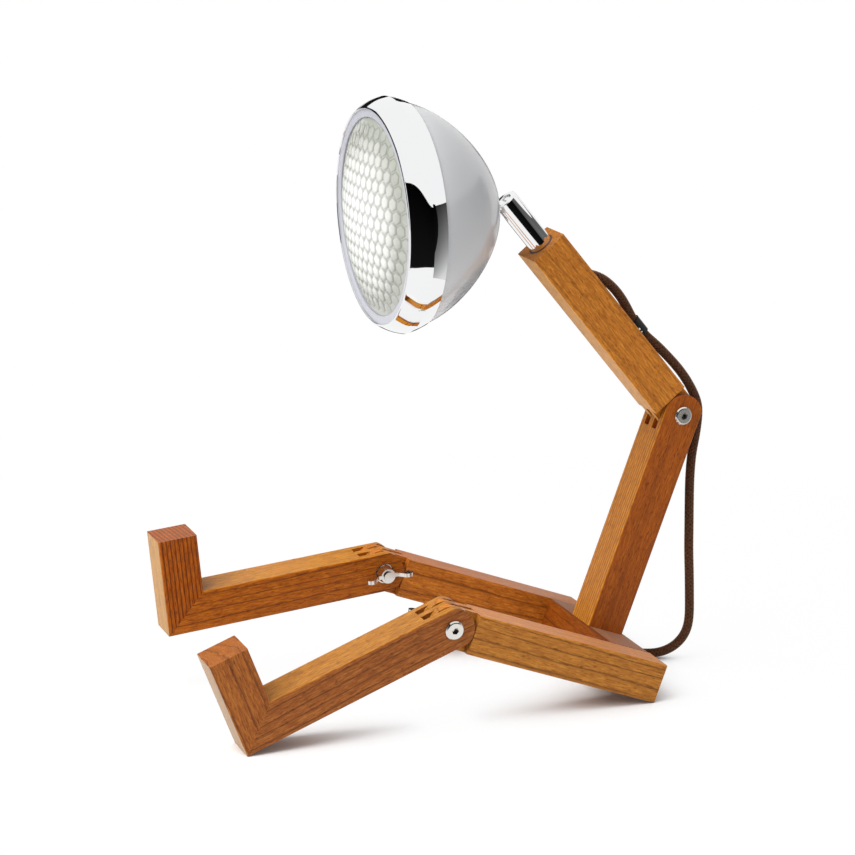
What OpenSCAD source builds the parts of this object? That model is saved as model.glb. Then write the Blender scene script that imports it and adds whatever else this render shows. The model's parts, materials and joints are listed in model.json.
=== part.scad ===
// Desk lamp shaped like a sitting robot: square wooden sticks with finger joints, a seat of two thighs,
// a round lamp head on a slotted neck tube, and a textile cord down the back.
// Millimetres. X is across the lamp, with its left side on +X, Y is backwards and Z is up.
// The lamp stands on the rear edge of its seat and on its left heel.

/* [Sticks] */
// Width of each wooden stick, across the lamp
stick_w = 27; // [25:0.5:32]
// Depth of each wooden stick
stick_d = 25; // [23:0.5:29]
// Radius of the eased long edges
edge_r = 1; // [0.4:0.1:2]
// How far the round finger tips stand beyond half the stick's depth
tip_extra = 0.8; // [0.3:0.1:2]
// Gap between a finger tip and the shoulder that it turns past
tip_gap = 0.5; // [0.3:0.1:1.5]
// Side gap between neighbouring fingers
finger_gap = 0.2; // [0.1:0.05:0.5]

/* [Seat and legs] */
// Width over both thighs
seat_w = 150; // [135:1:180]
// Distance from the seat's rear edge to the knee pivots
thigh_len = 146.5; // [120:0.5:180]
// Depth of the pelvis block between the thighs
pelvis_d = 28; // [28:0.5:60]
// Distance from a knee pivot to the sole of the foot
shin_len = 144; // [120:0.5:180]
// Height of a foot, from the heel corner to the tip of the toe
foot_h = 62; // [45:0.5:90]
// Bend of the left knee as the lamp stands
knee_left_bend = 41.5; // [30:0.5:60]
// Bend of the right knee as the lamp stands
knee_right_bend = 26; // [15:0.5:40]

/* [Torso and arm] */
// Height of the elbow pivot above the seat
torso_len = 145.5; // [120:0.5:180]
// Distance from the elbow pivot to the top end of the upper torso
arm_len = 146.5; // [125:0.5:180]
// Bend of the elbow, from straight
elbow_bend = 59.8; // [45:0.5:75]

/* [Pivot bolts and wing nuts] */
// Diameter of the pivot bolts
bolt_d = 6; // [5:0.5:8]
// Radial clearance of a bolt in its bores and in its wing nut
pivot_clear = 0.06; // [0.02:0.01:0.1]
// Diameter of a bolt's flanged head
bolt_head_d = 11.8; // [10:0.2:15]
// Thickness of a bolt's head
bolt_head_t = 2; // [1.5:0.1:3.5]
// Width across flats of the hexagon socket in a bolt's head
socket_af = 4; // [3:0.5:5]
// Outside diameter of the washer under a wing nut
washer_od = 12.5; // [11:0.5:18]
// Thickness of that washer
washer_t = 1.2; // [0.8:0.1:2]
// Span over the two wings of a wing nut
wing_span = 31; // [26:0.5:38]
// Height of a wing nut's boss
wing_boss_h = 6.5; // [5:0.5:9]
// Diameter of a wing nut's boss at its foot
wing_boss_d = 11.5; // [10:0.5:14]

/* [Dowels] */
// Diameter of the dowels that join the seat, the torso and the feet
dowel_d = 8; // [6:0.5:9]
// Length of those dowels
dowel_len = 30; // [22:1:36]
// Length of the dowels in the feet
foot_dowel_len = 18; // [12:1:20]
// Radial gap for the glue round a dowel
glue_gap = 0.05; // [0.02:0.01:0.1]
// Diameter of the screw that pulls the torso down on the pelvis block
torso_screw_d = 5; // [4:0.5:6]

/* [Neck] */
// Outside diameter of the chromed neck tube
neck_od = 15; // [13:0.5:16]
// Length of the neck tube above the wood
neck_len = 38; // [30:0.5:60]
// Length of the neck tube inside its bush
neck_in = 18; // [14:0.5:20]
// Diameter of the ball that the lamp head turns on
ball_d = 9.8; // [8.5:0.1:10]
// Radial clearance of the ball, and of the neck tube in its bush
neck_clear = 0.06; // [0.02:0.01:0.1]
// Distance from the ball's centre to the top of the neck tube
ball_drop = 4.5; // [4:0.1:5]
// Diameter of the stem between the ball and the lamp head
stem_d = 5.6; // [5:0.1:6]
// Depth of the slot in the neck tube
slot_len = 12; // [9:0.5:16]
// Wall of the bush that the neck tube turns in
bush_wall = 1; // [0.8:0.1:1.4]
// Angle between the neck tube and the axis of the lamp head
head_tilt = 52.2; // [40:0.5:75]

/* [Lamp head] */
// Distance from the ball's centre to the washer behind the shell
head_gap = 9.4; // [9.2:0.1:14]
// Radius of the shell at the bezel
shell_r = 67.4; // [60:0.2:75]
// Depth of the shell's full curve behind the bezel
shell_len = 56.4; // [50:0.2:70]
// Wall of the shell
shell_wall = 1; // [0.8:0.1:1.6]
// Depth of the chromed bezel
bezel_depth = 22.7; // [20:0.1:30]
// Distance from the rim back to the crease of the bezel
crease_depth = 16; // [13:0.1:18]
// How far the crease stands out from the shell's radius
crease_out = 4.6; // [3:0.1:7]
// How far the rim lies inside the shell's radius
rim_in = 1.4; // [0:0.1:4]
// Wall of the bezel
bezel_wall = 1; // [0.7:0.1:1.3]
// Width of the grey ring round the lens
ring_w = 5; // [3:0.2:9]
// Rise of the domed lens
lens_rise = 9; // [5:0.2:11]
// Thickness of the lens
lens_t = 3; // [2:0.1:4]
// Depth of the reflector bowl
reflector_depth = 38; // [28:0.5:44]

/* [Cord] */
// Diameter of the textile cord
cord_d = 6; // [5:0.5:6.5]

/* [Hidden] */
$fn = 48;

// Finger joints
half_w = stick_w/2;
half_d = stick_d/2;
joint_gap = 0.02;
tip_r = half_d + tip_extra;
shoulder = tip_r + tip_gap;
layer_w = stick_w/5;
outer_layers = [0, 2, 4];
inner_layers = [1, 3];

// Where the lamp stands: the seat is pitched so that its rear edge and the left heel touch the ground
pitch_rise = shin_len*sin(knee_left_bend) + half_d*(cos(knee_left_bend) - 1);
pitch_run = thigh_len + shin_len*cos(knee_left_bend) - half_d*sin(knee_left_bend);
seat_pitch = atan2(pitch_rise, pitch_run);
leg_x = seat_w/2 - half_w;
elbow_y = -(pelvis_d - half_d);
elbow_z = stick_d + torso_len;
function floor_y(y, z) = y*cos(seat_pitch) + z*sin(seat_pitch);
function toe_y(bend) = floor_y(-thigh_len, half_d)
    - shin_len*cos(bend - seat_pitch) - (foot_h - half_d)*sin(bend - seat_pitch);
front_y = min(toe_y(knee_left_bend), toe_y(knee_right_bend));
back_y = floor_y(elbow_y, elbow_z) + tip_r;
base_y = -(front_y + back_y)/2;

// Hardware
screw_head_d = 2*torso_screw_d;
screw_head_h = 2.7;
screw_sink = 0.3;
screw_len = stick_d + 29;
socket_depth = bolt_head_t + 1;
wing_gap = 0.1;
wing_t = 2.4;
wing_h = wing_boss_h + 6;
bolt_reach = half_w + washer_t + wing_gap + wing_boss_h + 1.5;

// Neck
neck_bore = ball_d + 2*neck_clear;
lip_r = ball_d/2 - 0.6;
stem_bore = 3;
neck_pivot_z = arm_len + neck_len - ball_drop;
bush_od = neck_od + 2*neck_clear + 2*bush_wall;
bush_floor = 3;
bush_depth = neck_in + bush_floor + 0.3;
nut_h = 5;
nut_od = neck_od - 1;
pocket_depth = bush_depth + nut_h + 4;
sleeve_end = arm_len - bush_depth - nut_h - 1;
sleeve_bore = 6;
seat_h = 5;
seat_top = -3.1;
lead_d = 4.6;

// Cord hole in the back of the upper torso: where it leaves the wood, and its slant
cord_hole_z = 109;
cord_hole_slant = 32;
cord_hole_len = 18;
cord_hole_d = cord_d + 0.8;
clip_z = 61;
clip_len = 11;
clip_wall = 0.8;
clip_ear = 6;
clip_bore_r = cord_d/2 + 0.3;

// Lamp head, along its axis from the ball's centre
head_washer_t = 0.9;
pole_r = 7.5;
bowl_p = 1.85;
bowl_q = 1.4;
bowl_steps = 22;
pole_drop = shell_len*pow(1 - pow(pole_r/shell_r, bowl_p), 1/bowl_q);
pole_z = head_gap + head_washer_t;
seam_z = pole_z + pole_drop;
rim_z = seam_z + bezel_depth;
shell_tuck = 5;
rim_r = shell_r - rim_in;
crease_r = shell_r + crease_out;
crease_z = rim_z - crease_depth;
seam_r = shell_r + bezel_wall + 0.1;
lip_in = 1.4;
lip_t = 1;
ring_t = 1.2;
ring_r = rim_r - bezel_wall - 0.1;
lens_r = ring_r - 0.5;
lens_edge_z = rim_z - lip_t - ring_t;
dome_r = rim_r - lip_in - ring_w;
lens_back_z = lens_edge_z - lens_t;
gasket_t = 1;
reflector_wall = 0.8;
reflector_z = lens_back_z - gasket_t;
reflector_bowl_r = dome_r;
holder_r = 10;
holder_len = 20;
holder_flange_r = 13;
vertex_z = reflector_z - reflector_depth;
bulb_r = 7.5;
bulb_len = 30;
head_nut_h = 5;
head_nut_af = 10;

// Route of the cord: out of the upper torso, past the elbow, down to the ground and behind the seat
cord_route = [
    [0, 90, 260.5], [0, 99, 257.5], [0, 106.5, 255], [0, 114, 249], [0, 120, 242], [0, 126, 232],
    [0, 128.5, 227], [0, 136.5, 217], [0, 145, 209.5], [0, 153, 201.5], [0, 160.8, 193],
    [0, 167.6, 183.8], [0, 172.9, 174.2], [0, 175.6, 166.5], [0, 175.4, 158], [0, 174.2, 148],
    [0, 172, 136], [1, 170.5, 121], [2, 170, 105], [3.5, 169.5, 89], [5, 169, 73], [6.5, 169, 58],
    [7.5, 169, 43], [8, 169, 31], [7.6, 168.2, 22.5], [6.3, 166, 16], [4.2, 162.4, 10.6],
    [1.5, 157.7, 6.5], [-1.6, 151.8, 3.9], [-5.4, 145.2, 3], [-10.9, 137.8, 3.1], [-18.3, 132, 4.4],
    [-26.5, 129.5, 6], [-29.98, 129.5, 6]
];
arm_end = 9;
elbow_end = 16;
link_route = [
    [-76.02, 129.5, 6], [-78.6, 129.5, 6], [-84.4, 128.7, 6.6], [-89.9, 126.5, 7.6], [-94.5, 122.9, 8.7],
    [-98.1, 118.3, 9.4], [-100.3, 112.8, 9.3], [-101.1, 107, 9.1], [-99.7, 99.1, 9]
];
tail_route = [
    [-175.8, 86.8, 3], [-173.5, 101.9, 3], [-166.1, 115.4, 3], [-154.4, 125.6, 3], [-139.8, 131.3, 3],
    [-124.1, 131.6, 3], [-109.1, 126.5, 3], [-96.6, 116.5, 3], [-88.3, 102.7, 4], [-85.2, 86.8, 5.7],
    [-85.2, 80, 6.3], [-85.2, 73, 6.8], [-85.2, 67, 7], [-85.2, 65.02, 7]
];
cord_sides = 10;
coil_x = -132;
coil_y = 86.8;
coil_outer = 43.8;
coil_inner = 21;
coil_upper = 34.6;

// Switch on the cord, and the plug at its end
switch_x0 = -76;
switch_x1 = -30;
switch_y = 129.5;
switch_w = 22;
switch_h = 13;
switch_split = 6;
switch_corner = 5;
rocker_l = 15;
rocker_w = 9;
rocker_gap = 0.3;
rocker_r = 11;
rocker_tilt = 8;
rocker_pin_d = 2.4;
plug_x = -85.2;
plug_y = 53;
plug_len = 30;
plug_z = 7;
plug_w = 33;
plug_h = 13.6;
relief_len = 12;
pin_d = 4;
pin_len = 19;
pin_pitch = 18.6;

wood_orange = "#b5713a";
wood_red = "#8f4a26";

// ---- Frames: each module puts its children where that part of the lamp is ----

module at_seat() translate([0, base_y, 0]) rotate([-seat_pitch, 0, 0]) children();
module at_torso() at_seat() translate([0, elbow_y, stick_d]) children();
module at_elbow() at_seat() translate([0, elbow_y, elbow_z]) children();
module at_arm() at_elbow() rotate([elbow_bend, 0, 0]) children();
module at_neck() at_arm() translate([0, 0, neck_pivot_z]) children();
module at_head() at_neck() rotate([head_tilt, 0, 0]) children();
module at_knee(side) at_seat() translate([side*leg_x, -thigh_len, half_d]) children();
module at_shin(side) at_knee(side) rotate([side > 0 ? knee_left_bend : knee_right_bend, 0, 0]) children();

// ---- Woodwork ----

// A stick's cross-section, with eased corners
module stick_section(w, d) {
    square([w - 2*edge_r, d], center = true);
    square([w, d - 2*edge_r], center = true);
    for (x = [-1, 1], y = [-1, 1])
        translate([x*(w/2 - edge_r), y*(d/2 - edge_r)]) circle(edge_r);
}

// A plain stick along -Y, from y0 down to y1
module bar(y0, y1) translate([0, y0, 0]) rotate([90, 0, 0]) linear_extrude(y0 - y1) stick_section(stick_w, stick_d);

// One finger: a slice of the stick with a round tip about the pivot
module finger(layer) {
    x0 = -half_w + layer*layer_w + (layer > 0 ? finger_gap/2 : 0);
    x1 = -half_w + (layer + 1)*layer_w - (layer < 4 ? finger_gap/2 : 0);
    translate([x0, 0, 0]) rotate([90, 0, 90]) linear_extrude(x1 - x0) {
        circle(tip_r, $fn = 96);
        translate([-shoulder - 1, -half_d]) square([shoulder + 1, stick_d]);
    }
}

module pivot_bore() rotate([0, 90, 0]) cylinder(h = stick_w + 2, r = bolt_d/2 + pivot_clear, center = true);

// A stick along -Y from its pivot at the origin, with fingers in the given layers
module finger_stick(len, layers) difference() {
    intersection() {
        bar(tip_r + 1, -len);
        union() {
            translate([-half_w - 1, -len - 1, -half_d - 1])
                cube([stick_w + 2, len + 1 - shoulder, stick_d + 2]);
            for (l = layers) finger(l);
        }
    }
    pivot_bore();
}

module dowel(len = dowel_len) cylinder(h = len, d = dowel_d, center = true);
module dowel_hole(len = dowel_len) cylinder(h = len + 1, r = dowel_d/2 + glue_gap, center = true);

// Two dowels on each side, from the pelvis block into a thigh
module place_seat_dowels() for (side = [-1, 1], y = [pelvis_d*0.27, pelvis_d*0.73])
    at_seat() translate([side*(seat_w/2 - stick_w), -y, half_d]) rotate([0, 90, 0]) children();

// Two upright dowels from the pelvis block into the torso, one on each side of its screw
module place_torso_dowels() for (side = [-1, 1])
    at_torso() translate([side*half_w*0.55, 0, 0]) children();

module thigh(side) difference() {
    at_knee(side) rotate([0, 0, 180]) finger_stick(thigh_len, inner_layers);
    place_seat_dowels() dowel_hole();
}
module thigh_left() color(wood_orange) thigh(1);
module thigh_right() color(wood_orange) thigh(-1);

module torso_screw_hole() at_torso() {
    translate([0, 0, -stick_d - 1]) cylinder(h = screw_len + 2, r = torso_screw_d/2 + glue_gap);
    translate([0, 0, -stick_d - 1]) cylinder(h = screw_head_h + screw_sink + 1, d = screw_head_d + 0.4);
}

module pelvis_block() color(wood_orange) difference() {
    at_seat() translate([0, -pelvis_d/2, half_d]) rotate([90, 0, 90])
        linear_extrude(seat_w - 2*stick_w - 2*joint_gap, center = true) stick_section(pelvis_d, stick_d);
    place_seat_dowels() dowel_hole();
    place_torso_dowels() dowel_hole();
    torso_screw_hole();
}
module seat_dowels() color("#c9a57a") place_seat_dowels() dowel();
module lower_torso() color(wood_red) difference() {
    at_elbow() rotate([90, 0, 0]) finger_stick(torso_len - joint_gap, outer_layers);
    place_torso_dowels() dowel_hole();
    torso_screw_hole();
}
module torso_dowels() color("#c9a57a") place_torso_dowels() dowel();
module torso_screw() color("silver") at_torso() translate([0, 0, -stick_d + screw_sink]) difference() {
    union() {
        cylinder(h = screw_len, d = torso_screw_d);
        cylinder(h = screw_head_h - joint_gap, d = screw_head_d);
    }
    translate([0, 0, -1]) cylinder(h = screw_head_h, d = socket_af/cos(30), $fn = 6);
}

// A shin and its foot meet in a mitre, from the inner corner down to the heel: y and z of its two ends
mitre_low = [-shin_len - 2, -half_d - 2];
mitre_high = [-shin_len + stick_d + 2, half_d + 2];
module mitre_side(corners) translate([-half_w - 1, 0, 0]) rotate([90, 0, 90]) linear_extrude(stick_w + 2)
    polygon(concat([mitre_low, mitre_high], corners));
module shin_side() mitre_side([[tip_r + 2, half_d + 2], [tip_r + 2, -half_d - 2]]);
module foot_side() translate([0, -joint_gap, joint_gap])
    mitre_side([[-shin_len + stick_d + 2, foot_h], [-shin_len - 2, foot_h]]);

module foot_dowel_place() translate([0, -shin_len + half_d, 0]) rotate([45, 0, 0]) children();

module shin(side) at_shin(side) difference() {
    intersection() {
        finger_stick(shin_len, outer_layers);
        shin_side();
    }
    foot_dowel_place() dowel_hole(foot_dowel_len);
}
module foot(side) at_shin(side) difference() {
    intersection() {
        translate([0, -shin_len + half_d, -half_d]) linear_extrude(foot_h) stick_section(stick_w, stick_d);
        foot_side();
    }
    foot_dowel_place() dowel_hole(foot_dowel_len);
}
module shin_left() color(wood_red) shin(1);
module shin_right() color(wood_red) shin(-1);
module foot_left() color(wood_orange) foot(1);
module foot_right() color(wood_orange) foot(-1);
module foot_dowel_left() color("#c9a57a") at_shin(1) foot_dowel_place() dowel(foot_dowel_len);
module foot_dowel_right() color("#c9a57a") at_shin(-1) foot_dowel_place() dowel(foot_dowel_len);

module cord_hole() translate([0, half_d, cord_hole_z]) rotate([cord_hole_slant, 0, 0])
    translate([0, 0, -cord_hole_len]) cylinder(h = 2*cord_hole_len, d = cord_hole_d);

module upper_torso() color(wood_orange) at_arm() difference() {
    rotate([-90, 0, 0]) finger_stick(arm_len, inner_layers);
    translate([0, 0, arm_len - bush_depth]) cylinder(h = bush_depth + 1, r = bush_od/2 + glue_gap/2);
    translate([0, 0, arm_len - pocket_depth]) cylinder(h = pocket_depth, d = nut_od + 1);
    cord_hole();
    place_clip_screws() cylinder(h = 9, d = 2.2, center = true);
}

// ---- Pivot bolts, washers and wing nuts: the bolt's head is on the +X side of the stick ----

module pivot_bolt() rotate([0, 90, 0]) difference() {
    union() {
        translate([0, 0, half_w]) rotate_extrude() polygon([
            [0, 0], [bolt_head_d/2 - 0.3, 0], [bolt_head_d/2, 0.3], [bolt_head_d/2, bolt_head_t*0.55],
            [bolt_head_d/2 - 0.7, bolt_head_t - 0.15], [bolt_head_d/2 - 1.3, bolt_head_t], [0, bolt_head_t]
        ]);
        translate([0, 0, -bolt_reach]) cylinder(h = bolt_reach + half_w + 0.1, d = bolt_d);
    }
    translate([0, 0, half_w + bolt_head_t - socket_depth]) cylinder(h = socket_depth + 1, d = socket_af/cos(30), $fn = 6);
}
module pivot_washer() translate([-half_w - washer_t, 0, 0]) rotate([0, 90, 0]) difference() {
    cylinder(h = washer_t - 0.02, d = washer_od);
    translate([0, 0, -1]) cylinder(h = washer_t + 2, r = bolt_d/2 + pivot_clear);
}

// A wing nut along +Z from its foot
module wing_nut() difference() {
    union() {
        cylinder(h = wing_boss_h, d1 = wing_boss_d, d2 = wing_boss_d - 2.2);
        for (turn = [0, 180]) rotate([0, 0, turn]) translate([0, wing_t/2, 0]) rotate([90, 0, 0])
            linear_extrude(wing_t) {
                polygon([
                    [bolt_d/2 + 1, 0.8], [wing_boss_d/2 + 1.5, 1.4], [wing_span/2 - 0.6, wing_h - 4.4],
                    [wing_span/2 - 5.2, wing_h - 0.8], [wing_boss_d/2 + 0.6, wing_boss_h], [bolt_d/2 + 1, wing_boss_h]
                ]);
                translate([wing_span/2 - 3.2, wing_h - 3.2]) circle(3.2);
            }
    }
    translate([0, 0, -1]) cylinder(h = wing_boss_h + 2, r = bolt_d/2 + pivot_clear);
}
module pivot_wingnut(turn) translate([-half_w - washer_t - wing_gap, 0, 0])
    rotate([turn, 0, 0]) rotate([0, -90, 0]) wing_nut();

// Knees have the bolt head on the outer side of the leg
module on_leg(side) at_shin(side) mirror([side < 0 ? 1 : 0, 0, 0]) children();
module elbow_bolt() color("silver") at_elbow() pivot_bolt();
module elbow_washer() color("silver") at_elbow() pivot_washer();
module elbow_wingnut() color("silver") at_elbow() pivot_wingnut(70);
module knee_bolt_left() color("silver") on_leg(1) pivot_bolt();
module knee_washer_left() color("silver") on_leg(1) pivot_washer();
module knee_wingnut_left() color("silver") on_leg(1) pivot_wingnut(60);
module knee_bolt_right() color("silver") on_leg(-1) pivot_bolt();
module knee_washer_right() color("silver") on_leg(-1) pivot_washer();
module knee_wingnut_right() color("silver") on_leg(-1) pivot_wingnut(90);

// ---- Neck ----

module neck_bush() color("#3a3a3a") at_arm() difference() {
    translate([0, 0, arm_len - bush_depth]) cylinder(h = bush_depth, d = bush_od);
    translate([0, 0, arm_len - neck_in - 0.3]) cylinder(h = neck_in + 1, r = neck_od/2 + neck_clear);
    translate([0, 0, arm_len - bush_depth - 1]) cylinder(h = bush_depth, r = neck_bore/2 - neck_clear);
}

// The ball's socket: a bore from below, a round seat, and a lip that keeps the ball in
module neck_tube() color("silver") at_neck() difference() {
    translate([0, 0, -neck_pivot_z + arm_len - neck_in]) rotate_extrude() neck_tube_profile();
    slot_cut();
}
tube_top = ball_drop;
tube_foot = -(neck_len - ball_drop) - neck_in;
module neck_tube_profile() difference() {
    polygon([
        [0, 0], [neck_od/2 - 0.4, 0], [neck_od/2, 0.4], [neck_od/2, tube_top - tube_foot - 0.5],
        [neck_od/2 - 0.5, tube_top - tube_foot], [0, tube_top - tube_foot]
    ]);
    translate([-1, -1]) square([1 + neck_bore/2, 1 - tube_foot]);
    translate([0, -tube_foot]) circle(neck_bore/2, $fn = 96);
    translate([-1, -tube_foot]) square([1 + lip_r, tube_top + 1]);
}
module slot_cut() {
    w = stem_d + 0.6;
    translate([-w/2, -neck_od, ball_drop - slot_len + w/2]) cube([w, neck_od, slot_len]);
    translate([0, 0, ball_drop - slot_len + w/2]) rotate([90, 0, 0]) cylinder(h = neck_od, d = w);
}
module neck_sleeve() color("#b08d57") at_arm() difference() {
    translate([0, 0, sleeve_end])
        cylinder(h = neck_pivot_z + seat_top - seat_h - joint_gap - sleeve_end, r = neck_bore/2 - 2*neck_clear);
    translate([0, 0, sleeve_end - 1]) cylinder(h = neck_pivot_z, d = sleeve_bore);
}
module neck_nut() color("#b08d57") at_arm() difference() {
    translate([0, 0, arm_len - bush_depth - nut_h - 0.1]) cylinder(h = nut_h, d = nut_od);
    translate([0, 0, sleeve_end - 1]) cylinder(h = nut_h + 4, r = neck_bore/2 - neck_clear);
    for (a = [0, 90]) translate([0, 0, arm_len - bush_depth - nut_h]) rotate([0, 0, a])
        translate([-1, -nut_od, -1]) cube([2, 2*nut_od, 2]);
}
module ball_seat() color("white") at_neck() difference() {
    translate([0, 0, seat_top - seat_h]) cylinder(h = seat_h, r = neck_bore/2 - 2*neck_clear);
    sphere(ball_d/2 + neck_clear, $fn = 96);
    translate([0, 0, -ball_d - seat_h]) cylinder(h = ball_d + seat_h, d = lead_d + 0.4);
}
module neck_lead() color("#2b2b2b") at_arm() translate([0, 0, sleeve_end - 2])
    cylinder(h = neck_pivot_z - ball_d/2 - 1 - sleeve_end + 2, d = lead_d);

// ---- Lamp head, along +Z from the ball's centre ----

// A point on the shell's curve: step k of the quarter from the seam, k = 0, to the pole
function bowl_point(k, r, len) = let (a = 90*k/bowl_steps)
    [r*pow(cos(a), 2/bowl_p), seam_z - len*pow(sin(a), 2/bowl_q)];
function bowl(r, len, from_r) = [
    for (k = [0:bowl_steps]) let (p = bowl_point(k, r, len)) if (p[0] > from_r) p
];
function reversed(list) = [for (i = [len(list) - 1:-1:0]) list[i]];

module head_stem() color("silver") at_head() difference() {
    union() {
        sphere(d = ball_d, $fn = 96);
        cylinder(h = pole_z + shell_wall + head_nut_h + 1.5, d = stem_d);
    }
    translate([0, 0, -ball_d]) cylinder(h = 3*ball_d + pole_z, d = stem_bore);
}
module head_washer() color("silver") at_head() difference() {
    translate([0, 0, head_gap]) cylinder(h = head_washer_t - 0.02, r = pole_r);
    translate([0, 0, head_gap - 1]) cylinder(h = 4, r = stem_d/2 + pivot_clear);
}
module head_nut() color("silver") at_head() difference() {
    translate([0, 0, pole_z + shell_wall + 0.05]) cylinder(h = head_nut_h, d = head_nut_af/cos(30), $fn = 6);
    translate([0, 0, pole_z]) cylinder(h = head_nut_h + 4, r = stem_d/2 + pivot_clear);
}
module head_leads() color("#d8d0c0") at_head() for (x = [-0.7, 0.7])
    translate([x, 0, -1]) cylinder(h = vertex_z - holder_len/2 + 3, d = 1.2, $fn = 16);

module shell() color("#a9abad") at_head() rotate_extrude($fn = 96) polygon(concat(
    [[shell_r, seam_z + shell_tuck]],
    bowl(shell_r, shell_len, pole_r),
    [[pole_r, pole_z], [stem_d/2 + 0.3, pole_z], [stem_d/2 + 0.3, pole_z + shell_wall], [pole_r, pole_z + shell_wall]],
    reversed(bowl(shell_r - shell_wall, shell_len - shell_wall, pole_r)),
    [[shell_r - shell_wall, seam_z + shell_tuck]]
));

// The bezel: a thin lip, a wide bulging band out to a crease, and a narrower band in to the shell
band_bulge = 1;
band_steps = 12;
function band(k, inset) = let (t = k/band_steps) [
    rim_r + (crease_r - rim_r)*t + band_bulge*sin(180*t*t) - inset,
    rim_z - 0.4 - (crease_depth - 0.4)*t
];
module bezel() color("silver") at_head() rotate_extrude($fn = 96) polygon(concat(
    [[rim_r - lip_in, rim_z - lip_t], [rim_r - lip_in, rim_z - 0.4], [rim_r - lip_in + 0.4, rim_z], [rim_r - 0.5, rim_z]],
    [for (k = [0:band_steps]) band(k, 0)],
    [[(crease_r + seam_r)/2 + 0.3, (crease_z + seam_z)/2], [seam_r, seam_z], [seam_r - bezel_wall, seam_z],
        [(crease_r + seam_r)/2 + 0.3 - bezel_wall, (crease_z + seam_z)/2]],
    [for (k = [band_steps:-1:1]) band(k, bezel_wall)],
    [[rim_r - bezel_wall, rim_z - lip_t]]
));
module lens_ring() color("#aeabb5") at_head() translate([0, 0, lens_edge_z + 0.02]) difference() {
    cylinder(h = ring_t - 0.04, r = ring_r, $fn = 96);
    translate([0, 0, -1]) cylinder(h = ring_t + 2, r = dome_r + 0.1, $fn = 96);
}

// The lens: a flat edge under the grey ring, and a dome inside it
dome_sphere_r = (dome_r*dome_r + lens_rise*lens_rise)/(2*lens_rise);
dome_steps = 14;
dome_angle = asin(dome_r/dome_sphere_r);
function dome(k, t) = let (a = dome_angle*k/dome_steps)
    [(dome_sphere_r - t)*sin(a), lens_edge_z + lens_rise - dome_sphere_r + (dome_sphere_r - t)*cos(a)];
module lens() color("#dfe6e2", 0.5) at_head() rotate_extrude($fn = 96) polygon(concat(
    [for (k = [0:dome_steps]) dome(k, 0)],
    [[lens_r, lens_edge_z], [lens_r, lens_back_z]],
    [for (k = [dome_steps:-1:0]) dome(k, lens_t)]
));
module lens_gasket() color("#222222") at_head() translate([0, 0, reflector_z + 0.02]) difference() {
    cylinder(h = gasket_t - 0.04, r = lens_r, $fn = 96);
    translate([0, 0, -1]) cylinder(h = gasket_t + 2, r = dome_r - 1, $fn = 96);
}

// The reflector: a flange behind the gasket and a parabolic bowl with a hole for the lamp holder
reflector_steps = 12;
function parabola(k, t) = let (r = holder_r + 0.3 + (reflector_bowl_r - holder_r - 0.3)*k/reflector_steps)
    [r, vertex_z + reflector_depth*r*r/(reflector_bowl_r*reflector_bowl_r) - t];
module reflector() color("#e4e4e2") at_head() rotate_extrude($fn = 96) polygon(concat(
    [for (k = [0:reflector_steps]) parabola(k, 0)],
    [[lens_r, reflector_z], [lens_r, reflector_z - reflector_wall], [reflector_bowl_r + 0.6, reflector_z - reflector_wall]],
    [for (k = [reflector_steps:-1:0]) parabola(k, reflector_wall*1.6)]
));
// Spring clips that press the reflector and the lens against the bezel, hooked in behind its crease
clip_flange_z = reflector_z - reflector_wall - joint_gap;
clip_hook_r = crease_r - bezel_wall - 0.5;
module reflector_clips() color("silver") at_head() for (a = [45:90:315]) rotate([0, 0, a])
    translate([0, 4, 0]) rotate([90, 0, 0]) linear_extrude(8) polygon([
        [reflector_bowl_r + 1, clip_flange_z], [lens_r, clip_flange_z],
        [clip_hook_r - 1.4, crease_z + 2.2], [clip_hook_r, crease_z + 1.4], [clip_hook_r, crease_z + 0.6],
        [clip_hook_r - 2, crease_z + 1.4], [lens_r - 0.8, clip_flange_z - 0.8],
        [reflector_bowl_r + 1, clip_flange_z - 0.8]
    ]);
module lamp_holder() color("#e9e6dc") at_head() difference() {
    union() {
        translate([0, 0, vertex_z - holder_len/2]) cylinder(h = holder_len*0.75, r = holder_r);
        translate([0, 0, vertex_z - 1.6*reflector_wall - 3 - 2*joint_gap]) cylinder(h = 3, r = holder_flange_r);
    }
    translate([0, 0, vertex_z]) cylinder(h = holder_len, r = bulb_r - 2);
    translate([0, 0, vertex_z - holder_len]) cylinder(h = holder_len*0.5 + 3, r = 2);
}
module bulb() color("#f6f3e6") at_head() translate([0, 0, vertex_z + 0.1]) {
    cylinder(h = 5.5, r = bulb_r - 2.1);
    translate([0, 0, holder_len/4 + 0.2]) cylinder(h = bulb_len - bulb_r, r = bulb_r);
    translate([0, 0, holder_len/4 + 0.2 + bulb_len - bulb_r]) sphere(bulb_r);
}

// ---- Cord, clip, switch and plug ----

function unit(v) = v/norm(v);
function tangent(route, i) = unit(route[min(i + 1, len(route) - 1)] - route[max(i - 1, 0)]);
function ring_at(route, i, away) = let (t = tangent(route, i), u = unit(cross(t, away)), v = cross(t, u))
    [for (s = [0:cord_sides - 1]) route[i] + cord_d/2*(cos(360*s/cord_sides)*u + sin(360*s/cord_sides)*v)];

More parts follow.
